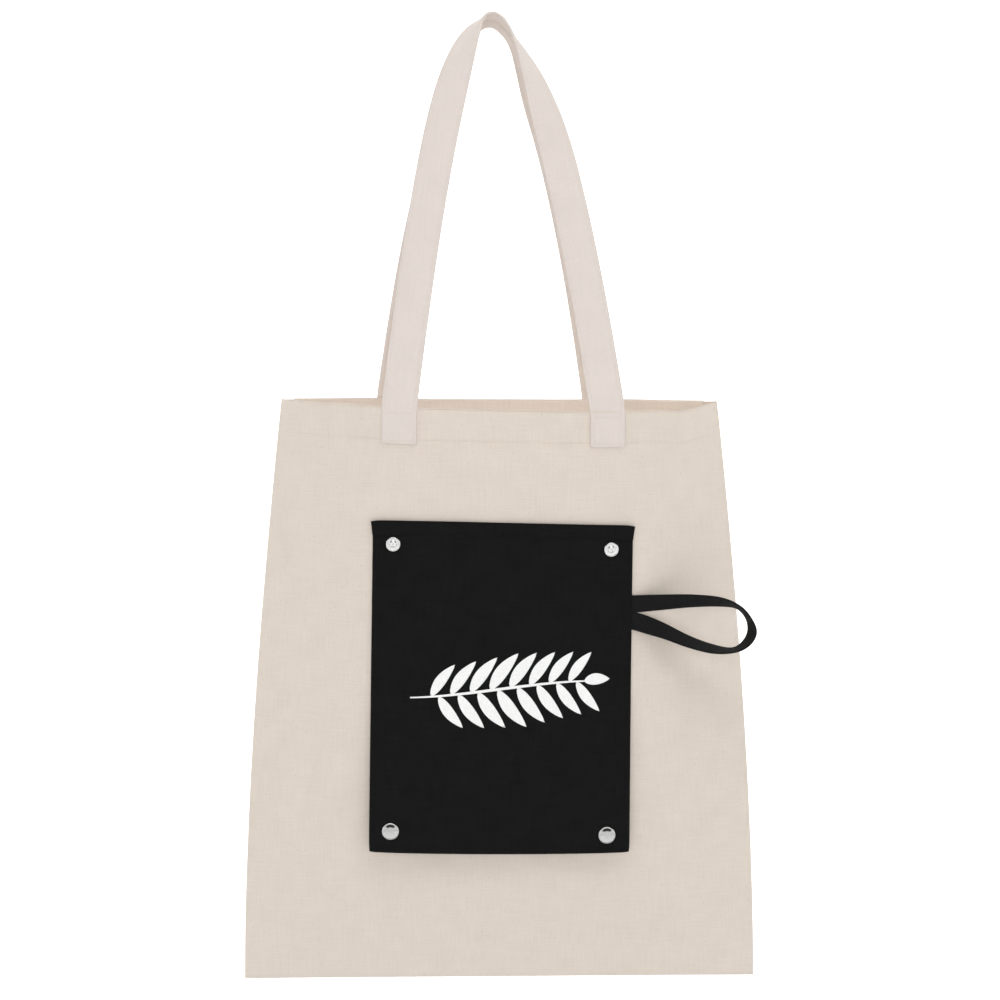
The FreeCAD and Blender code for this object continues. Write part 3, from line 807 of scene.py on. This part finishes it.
def arch_across(t, handle):
    """Which way a handle's width points: out at its feet, back over its crown."""
    step = 0.004
    along = arch_point(min(1, t + step), handle) - arch_point(max(-1, t - step), handle)
    along.normalize()
    backward = Vector((0, math.cos(CROWN_SLOPE), -math.sin(CROWN_SLOPE)))
    backward = (backward - along * backward.dot(along)).normalized()
    sideways = along.cross(backward) * -handle.face
    leg = handle.left if t < 0 else handle.right
    quick = float(smoothstep((abs(t) - leg.turn_from) / leg.turn_over))
    even = max(0.0, abs(t) - leg.turn_from) / (1 - leg.turn_from)
    turned = (1 - leg.slow) * quick + leg.slow * even
    twist = math.radians(90 * (1 - turned))
    return backward * math.sin(twist) + sideways * math.cos(twist)


FOOT_ROWS = 12
ARCH_ROWS = 80               # on each side of the crown


def handle_rows(handle):
    """Middle points and width directions of a whole strap, from foot to foot."""
    middle = []
    across = []
    drops = np.linspace(HEM, 1.0 * MM, FOOT_ROWS)
    reach = STRAP_WIDTH / 2

    def foot(leg, hand, foot_drops):
        for drop in foot_drops:
            x = leg.foot + np.array([-reach, reach]) * hand
            ends = panel_point(x, drop, handle.face, STRAP_THICK / 2 + 0.1 * MM)
            middle.append(Vector(ends.mean(0)))
            across.append(Vector(unit(ends[1] - ends[0])))

    foot(handle.left, handle.face, drops)
    for i in range(-ARCH_ROWS, ARCH_ROWS + 1):
        t = math.copysign(abs(i / ARCH_ROWS) ** 1.25, i)     # closer near the crown
        middle.append(arch_point(t, handle))
        across.append(arch_across(t, handle))
    foot(handle.right, -handle.face, drops[::-1])
    return np.array(middle), np.array(across)


def eased(rows, spots, times):
    """The rows with the corners at some of them smoothed out."""
    rows = rows.copy()
    for _ in range(times):
        for spot in spots:
            near = slice(spot - 3, spot + 4)
            before = slice(spot - 4, spot + 3)
            after = slice(spot - 2, spot + 5)
            rows[near] = (rows[before] + 2 * rows[near] + rows[after]) / 4
    return rows


def make_handle(side, handle):
    middle, across = handle_rows(handle)
    rims = (FOOT_ROWS, len(middle) - FOOT_ROWS - 1)
    middle = eased(middle, rims, 3)
    across = unit(eased(across, rims, 2))
    reach = (STRAP_WIDTH - STRAP_THICK) / 2
    columns = np.linspace(-1, 1, 11)[None, :, None]
    crown = 0.3 * MM             # the folded strap is thickest along its middle
    along = unit(np.gradient(middle, axis=0))
    through = unit(np.cross(along, across))
    grid = middle[:, None] + across[:, None] * reach * columns
    grid = grid + through[:, None] * (1 - columns ** 2) * crown
    strap = shell(
        f"{side}_handle_strap", grid, STRAP_THICK / 2, STRAP_THICK / 2, strap_cloth)
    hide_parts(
        f"{side}_handle", f"{side}_handle_foot_left", f"{side}_handle_foot_right")
    inset = reach - 2.0 * MM
    rows = []
    for edge in (-inset, inset):
        for top in (-1, 1):
            lift = through * top * (STRAP_THICK / 2 + 0.08 * MM)
            rows.append((middle + across * edge + lift, through * top))
    outward = np.array([0.0, float(handle.face), 0.0])
    # the short rows across the ends of both sewn feet
    for row in (1, FOOT_ROWS - 2, 1 - FOOT_ROWS, -2):
        ends = [middle[row] + across[row] * edge + outward * (STRAP_THICK / 2 + 0.35 * MM)
                for edge in (-inset, inset)]
        rows.append((np.array(ends), np.tile(outward, (2, 1))))
    stitching = thread(
        f"{side}_handle_stitching", rows, natural_thread, pitch=2.8 * MM, radius=0.16 * MM)
    for piece in (strap, stitching):
        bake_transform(piece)
    length = float(run_along(middle)[-1])
    return length


for side, handle in HANDLES.items():
    print(f"{side} handle strap {make_handle(side, handle):.3f} m")


# ---- pouch

def pouch_point(x, z, out):
    """A place on the pouch: x and z from the middle of its crease, out from the bag's panel.

    The upper half lies on the panel that it is sewn to, and the lower half hangs nearly plumb.
    The pouch isn't quite square: it narrows a little upwards, and its lower edge sags.
    """
    up = z / POUCH_HALF_HEIGHT
    sag = 1.8 * MM * (1 - (x / POUCH_HALF_WIDTH) ** 2) * np.clip(-up, 0, None) ** 2
    skew = np.where(up > 0, up, -np.abs(up) ** 6)
    x, z = x * (0.997 - 0.01 * up) - 0.009 * z, z - 0.007 * x * skew - sag
    ease = 2.5 * MM
    held = ease * np.logaddexp(0.0, z / ease)
    below = z - held
    world_x = POUCH_X + x * math.cos(POUCH_TILT) + z * math.sin(POUCH_TILT)
    held_x = POUCH_X + x * math.cos(POUCH_TILT) + held * math.sin(POUCH_TILT)
    held_z = CREASE_Z - x * math.sin(POUCH_TILT) + held * math.cos(POUCH_TILT) * math.cos(LEAN)
    depth = panel_depth(held_x, RIM_Z - held_z, FRONT)
    clear = 0.5 * MM * smoothstep(-z / (12 * MM)) + 0.15 * MM
    inward = below * math.tan(FLAP_LEAN)
    world_z = held_z + below * math.cos(POUCH_TILT)
    return np.stack(np.broadcast_arrays(world_x, -(depth + out + clear + inward), world_z), -1)


def puff(x, z):
    """How far the pouch's front layer stands off its lining, between the seams."""
    inside = (1 - (x / POUCH_HALF_WIDTH) ** 2).clip(0) * (1 - (z / POUCH_HALF_HEIGHT) ** 2).clip(0)
    waves = (
        0.35 * MM * np.sin(x / (21 * MM) + z / (47 * MM)) * np.sin(z / (33 * MM) + 0.8)
        + 0.25 * MM * np.sin(x / (11 * MM) - z / (19 * MM) + 0.5)
    )
    return 1.1 * MM * inside ** 0.5 + waves * inside ** 0.4


def turned_spread(half, round_off, count):
    """Coordinates from edge to edge, with extra ones round each turned edge."""
    inner = np.linspace(-(half - round_off), half - round_off, count)
    turn = round_off * np.sin(np.linspace(0, 1, 5)[1:] * math.pi / 2)
    return np.concatenate([-(half - round_off) - turn[::-1], inner, half - round_off + turn])


def edge_fall(value, half, round_off):
    """0 inside, rising to 1 at a turned edge as a quarter circle."""
    left = np.clip((np.abs(value) - (half - round_off)) / round_off, 0.0, 1.0)
    return 1 - np.sqrt(1 - left ** 2)


ROUND_OFF = 1.0 * MM
POUCH_MIDDLE = 1.1 * MM      # where the two layers meet at the pouch's edges


def corner_inset(x, z):
    """Round the pouch's corners off a little, by drawing their points in."""
    corner = (np.abs(x) / POUCH_HALF_WIDTH) ** 40 * (np.abs(z) / POUCH_HALF_HEIGHT) ** 40
    return 1 - 0.006 * corner


def pouch_layer(name, face_out, front, nodes):
    xs = turned_spread(POUCH_HALF_WIDTH, ROUND_OFF, 81)
    zs = turned_spread(POUCH_HALF_HEIGHT, ROUND_OFF, 101)[::-1]
    x, z = np.meshgrid(xs, zs)
    drawn = corner_inset(x, z)
    x, z = x * drawn, z * drawn
    fall = np.maximum(
        edge_fall(x, POUCH_HALF_WIDTH, ROUND_OFF), edge_fall(z, POUCH_HALF_HEIGHT, ROUND_OFF))
    raised = face_out + (puff(x, z) if front else 0.0)
    out = raised + (POUCH_MIDDLE - raised) * fall
    grid = pouch_point(x, z, out)
    above, below = (0.0, POUCH_CLOTH) if front else (POUCH_CLOTH, 0.0)
    layer = shell(name, grid, above, below, black_cloth)
    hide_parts(*nodes)
    return layer


def lift_with_flap(piece):
    """Bake a piece's placement into its mesh."""
    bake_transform(piece)


def pouch_rows(lines, lift):
    """Stitch lines on the pouch, each a list of (x, z) corners."""
    rows = []
    for corners in lines:
        corners = np.array(corners, float)
        run = run_along(corners)
        at = np.linspace(0, run[-1], max(2, int(run[-1] / (2 * MM))))
        x = np.interp(at, run, corners[:, 0])
        z = np.interp(at, run, corners[:, 1])
        line = pouch_point(x, z, POUCH_FACE + puff(x, z) + lift)
        rows.append((line, np.tile([0.0, -1.0, 0.0], (len(x), 1))))
    return rows


def make_pouch():
    face = pouch_layer(
        "pouch_front_layer", POUCH_FACE, True,
        ["pouch_front", "flap_front", "pouch_left_seam", "pouch_right_seam", "flap_seam"])
    lining = pouch_layer("pouch_back_layer", 0.0, False, ["pouch_back", "flap_back"])
    edge = POUCH_HALF_WIDTH - 3.0 * MM
    top = POUCH_HALF_HEIGHT - 12.5 * MM
    base = -POUCH_HALF_HEIGHT + 3.0 * MM
    around = pouch_rows(
        [[(-edge, top), (-edge, base), (edge, base), (edge, top)]], 0.05 * MM)
    stitching = thread(
        "pouch_edge_stitching", around, black_thread, pitch=2.4 * MM, radius=0.2 * MM)
    for piece in (face, lining, stitching):
        lift_with_flap(piece)


POUCH_HEM = 11.0 * MM
HEM_FLARE = 1.5 * MM
HEM_OUT = 0.7 * MM


def make_pouch_hem():
    """The band along the pouch's mouth, folded over its top edge."""
    half = POUCH_HALF_WIDTH + HEM_FLARE
    xs = turned_spread(half, ROUND_OFF, 81)
    top = POUCH_HALF_HEIGHT + 0.4 * MM
    zs = top - np.concatenate([
        ROUND_OFF * (1 - np.cos(np.linspace(0, 1, 5) * math.pi / 2)),
        np.linspace(ROUND_OFF, POUCH_HEM, 9)[1:],
    ])
    x, z = np.meshgrid(xs, zs)
    fall = np.maximum(edge_fall(x, half, ROUND_OFF), edge_fall(z, top, ROUND_OFF))
    proud = 0.25 * MM * bell((np.abs(x) - half) / (9 * MM))
    out = POUCH_FACE + HEM_OUT - 1.7 * MM * fall + proud
    lower = (POUCH_HALF_HEIGHT - z) / POUCH_HEM
    rounded = 1.2 * MM * (np.abs(x) / half) ** 30 * np.clip(1 - 3 * lower, 0, 1)
    grid = pouch_point(x * (1 - 0.9 * HEM_FLARE / half * lower), z - rounded, out)
    band = shell("pouch_hem_band", grid, 0.0, POUCH_CLOTH, black_cloth)
    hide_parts("pouch_hem")
    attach(band, "bag")
    edge = half - 3 * MM
    low = POUCH_HALF_HEIGHT - POUCH_HEM + 1.8 * MM
    x = np.linspace(-edge, edge, 120)
    outward = np.tile([0.0, -1.0, 0.0], (len(x), 1))
    on_band = POUCH_FACE + HEM_OUT + 0.05 * MM
    rows = [(pouch_point(x, height, on_band), outward)
            for height in (low, POUCH_HALF_HEIGHT - 1.8 * MM)]
    stitching = thread(
        "pouch_hem_stitching", rows, black_thread, pitch=2.4 * MM, radius=0.2 * MM)
    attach(stitching, "bag")


make_pouch()
make_pouch_hem()


# ---- snaps

def snap_place(x, z, out):
    """A placement on the pouch whose Z axis points away from the cloth."""
    near = 3 * MM
    points = pouch_point(
        np.array([x, x + near, x]), np.array([z, z, z + near]), np.full(3, out))
    right = Vector(points[1] - points[0]).normalized()
    up = Vector(points[2] - points[0]).normalized()
    outward = right.cross(up).normalized()
    up = outward.cross(right).normalized()
    place = Matrix((right, up, outward)).transposed().to_4x4()
    place.translation = Vector(points[0])
    return place


def cap_profile():
    """A cap with a flat top, a bevel round it and a rolled rim, and its post through the cloth."""
    rim = [(5.85 + 0.42 * math.cos(a), 0.55 + 0.42 * math.sin(a))
           for a in np.linspace(-math.pi / 2, math.pi * 0.8, 9)]
    top_radius = 5.35
    radii = np.linspace(top_radius, 0.1, 30)
    slope = np.radians(2.5 * radii / top_radius + 22.0 * smoothstep((radii - 2.4) / 1.2))
    rise = np.cumsum(np.tan(slope)) * (radii[0] - radii[1])
    dome = list(zip(radii, 0.72 + rise))
    return [(1.5, -3.6), (1.6, -3.5), (1.6, 0.1)] + rim + dome


def stud_profile():
    """A ring with a bead round its edge and a hollow knob in its middle."""
    bead = [(4.75 + 0.5 * math.cos(a), 0.7 + 0.5 * math.sin(a))
            for a in np.linspace(-math.pi / 2, math.pi, 9)]
    knob = [(2.9, 0.6), (2.6, 1.0), (2.5, 1.9), (2.3, 2.35), (2.0, 2.5)]
    well = [(1.7, 2.44), (0.5, 1.83), (0.4, 1.4)]
    return [(1.0, 0.02), (4.6, 0.02)] + bead + [(4.15, 0.85), (3.2, 0.55)] + knob + well


def eyelet_profile():
    return [(0.8, -0.9), (4.9, -0.9), (5.0, -0.8), (4.9, -0.68), (1.5, -0.65), (1.4, 1.6),
            (1.0, 1.65), (0.8, 1.5)]


def socket_profile():
    """A spring socket, open away from the cloth: heights run down from the flap's back."""
    return [(1.7, 0.0), (5.3, 0.0), (5.5, -0.2), (5.5, -2.0), (5.3, -2.4), (4.8, -2.6),
            (3.2, -2.6), (2.9, -2.5), (2.55, -2.2), (2.6, -1.9), (2.9, -1.4), (2.9, -0.7),
            (1.7, -0.6)]


def snap_part(name, profile, place, material, body, node):
    """One turned part of a snap, from its profile in millimetres."""
    outline = [(radius * MM, height * MM) for radius, height in profile]
    part = lathe(name, outline, place, material)
    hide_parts(node)
    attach(part, body)


def face_place(x, z):
    return snap_place(x, z, POUCH_FACE + float(puff(np.array(x), np.array(z))))


for side in ("left", "right"):
    place = face_place(*STUDS[side])
    snap_part(f"{side}_stud_ring", stud_profile(), place, stud_metal, "bag", f"{side}_stud")
    snap_part(
        f"{side}_eyelet_flange", eyelet_profile(), place, stud_metal, "bag", f"{side}_eyelet")
    place = face_place(*CAPS[side])
    snap_part(f"{side}_cap_dome", cap_profile(), place, cap_metal, "pouch_flap", f"{side}_cap")
    place = snap_place(*CAPS[side], -0.05 * MM)
    snap_part(
        f"{side}_socket_ring", socket_profile(), place, cap_metal, "pouch_flap",
        f"{side}_socket")


# ---- wrist loop

# mm out from the pouch's side, mm above the anchor's middle, degrees that the tape has turned
LOOP_ROUTE = [
    (-9, 6.1, 0), (0, 6.1, 0), (22, 7.7, 16), (44, 9.0, 30), (64, 8.4, 46), (77.6, 4.6, 68),
    (85.4, -3.4, 73), (88.5, -13, 66), (84.8, -21.8, 76), (75.5, -27.6, 88), (60, -26.8, 72),
    (42, -21.5, 59), (22, -13.1, 40), (0, -6.1, 0), (-9, -6.1, 0),
]
TAPE_WIDTH = 12.1 * MM
TAPE_THICK = 0.9 * MM
LOOP_Z = 58.0 * MM
LOOP_OUT = 1.1 * MM


def make_wrist_loop():
    route = smooth_line(LOOP_ROUTE, 8)
    anchor = pouch_point(
        np.array(POUCH_HALF_WIDTH), np.array(LOOP_Z), np.array(LOOP_OUT))
    turn = np.array(Matrix.Rotation(LEAN, 3, "X") @ Matrix.Rotation(POUCH_TILT, 3, "Y"))
    local = np.stack([route[:, 0] * MM, np.zeros(len(route)), route[:, 1] * MM], -1)
    along = unit(np.gradient(local, axis=0))
    inward = np.array([0.0, 1.0, 0.0])
    flat = unit(np.cross(inward, along))
    angle = np.radians(route[:, 2])[:, None]
    across = flat * np.cos(angle) + inward * np.sin(angle)
    reach = np.linspace(-1, 1, 7)[None, :, None] * TAPE_WIDTH / 2
    grid = (local[:, None] + across[:, None] * reach) @ turn.T + anchor
    place = np.stack(np.broadcast_arrays(
        reach[..., 0], np.cumsum(np.linalg.norm(np.gradient(local, axis=0), axis=1))[:, None]), -1)
    loop = shell(
        "wrist_loop_tape", grid, TAPE_THICK / 2, TAPE_THICK / 2, black_tape, place=place)
    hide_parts("wrist_loop", "wrist_loop_anchor")
    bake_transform(loop)
    length = float(run_along(local)[-1])
    bar = pouch_rows([[(POUCH_HALF_WIDTH - 6.5 * MM, LOOP_Z - 13 * MM),
                       (POUCH_HALF_WIDTH - 6.5 * MM, LOOP_Z + 13 * MM)]], 0.05 * MM)
    tack = thread("wrist_loop_tack", bar, black_thread, pitch=1.3 * MM, radius=0.24 * MM)
    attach(tack, "bag")
    return length


print(f"wrist loop tape {make_wrist_loop():.3f} m")


# ---- print on the pouch

INK = 0.08 * MM


def ink_strip(rows):
    """A thin layer of ink on the pouch, from rows of (x, z) points."""
    x, z = rows[..., 0], rows[..., 1]
    return pouch_point(x, z, POUCH_FACE + puff(x, z) + 0.05 * MM)


def leaf_rows(base, angle, length, width):
    """A pointed leaf: rows of points across it, from its stalk to its tip."""
    t = np.linspace(0.0, 1.0, 13)[:, None]
    across = np.linspace(-1, 1, 5)[None, :]
    half = width / 2 * np.sin(np.pi * t ** 0.85) ** 0.8
    bow = 0.12 * length * np.sin(np.pi * t) * math.copysign(1.0, math.sin(angle))
    local_z = half * across + bow * 0.35
    local_x = np.broadcast_to(t * length, local_z.shape)
    x = base[0] + local_x * math.cos(angle) - local_z * math.sin(angle)
    z = base[1] + local_x * math.sin(angle) + local_z * math.cos(angle)
    return np.stack([x, z], -1)


def stem_height(x):
    return -4 * MM + 7 * MM * np.sin(x / (48 * MM))


def make_print():
    """A plain leafy sprig in white ink: a stem, pairs of leaves, and a leaf at its tip."""
    half_length = 61 * MM
    x = np.linspace(-half_length - 6 * MM, half_length, 70)
    taper = 1.0 * MM * (1 - 0.5 * (x / half_length).clip(-1, 1) ** 2)
    strips = [np.stack([
        np.stack([x, stem_height(x) + taper * k], -1) for k in (-1.0, 0.0, 1.0)], 1)]
    for i in range(8):
        at = -52 * MM + i * 14.4 * MM
        size = 1.0 - 0.05 * abs(i - 3)
        for offset, angle in ((0.0, 54), (5.5 * MM, -52)):
            root = at + offset
            strips.append(leaf_rows(
                (root, float(stem_height(root))), math.radians(angle),
                length=35 * MM * size, width=9.4 * MM * size))
    strips.append(leaf_rows(
        (half_length - 1 * MM, float(stem_height(half_length))), math.radians(6),
        length=19 * MM, width=8.5 * MM))
    centre = np.array([0.5 * MM, 3.5 * MM])
    made = [
        shell(f"strip_{i}", ink_strip(rows + centre), INK, 0.0, ink)
        for i, rows in enumerate(strips)
    ]
    bpy.context.view_layer.update()
    with bpy.context.temp_override(
        active_object=made[0], selected_editable_objects=made, selected_objects=made,
    ):
        bpy.ops.object.join()
    made[0].name = "pouch_print"
    made[0].data.name = "pouch_print"
    lift_with_flap(made[0])


make_print()
